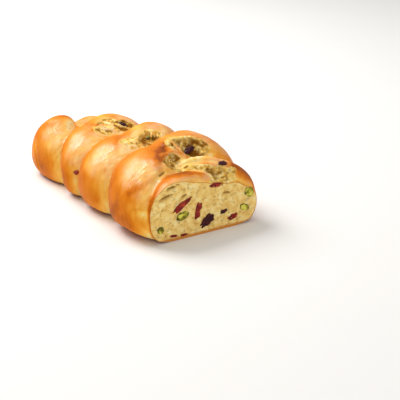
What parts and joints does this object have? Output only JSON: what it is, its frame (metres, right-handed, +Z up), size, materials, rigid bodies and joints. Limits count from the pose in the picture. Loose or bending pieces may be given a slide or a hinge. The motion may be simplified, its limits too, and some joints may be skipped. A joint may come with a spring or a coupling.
{
  "type": "braided loaf",
  "caption": "Golden egg-washed braided sweet loaf with torn creases, cut straight across at one end to show a pale crumb with pistachios and dried cranberries",
  "frame": {"origin": "middle of the loaf's bounding box at the height of the surface it stands on", "axes": "+Z up, the loaf's length along Y with the cut end facing -Y, width along X"},
  "size_m": [0.1334, 0.2532, 0.0729],
  "materials": {
    "crust": "egg-washed golden brown bread crust, glossy on the lobes, with a pale cream porous crumb where it is cut or torn",
    "cranberry": "dark red dried cranberry, slightly glossy where it is cut",
    "dark_cranberry": "purple-black dried cranberry, wrinkled",
    "pistachio": "yellow-green pistachio kernel with thin brown skin"
  },
  "bodies": {
    "root": {"loaf": "crust", "cranberry_long": "cranberry", "pistachio_round": "pistachio", "cranberry_upright": "cranberry", "cranberry_dark": "dark_cranberry", "cranberry_dark_small": "dark_cranberry", "pistachio_edge": "pistachio", "cranberry_seam": "cranberry", "pistachio_low": "pistachio", "cranberry_sole_left": "cranberry", "cranberry_sole_middle": "cranberry", "cranberry_low": "cranberry", "pistachio_low_right": "pistachio", "cranberry_crust": "dark_cranberry", "cranberry_tear": "dark_cranberry", "cranberry_tear_small": "cranberry", "cranberry_far_tear": "dark_cranberry", "pistachio_tear": "pistachio", "cranberry_side": "cranberry", "cranberry_far_side": "dark_cranberry", "pistachio_far_side": "pistachio"}
  },
  "joints": []
}
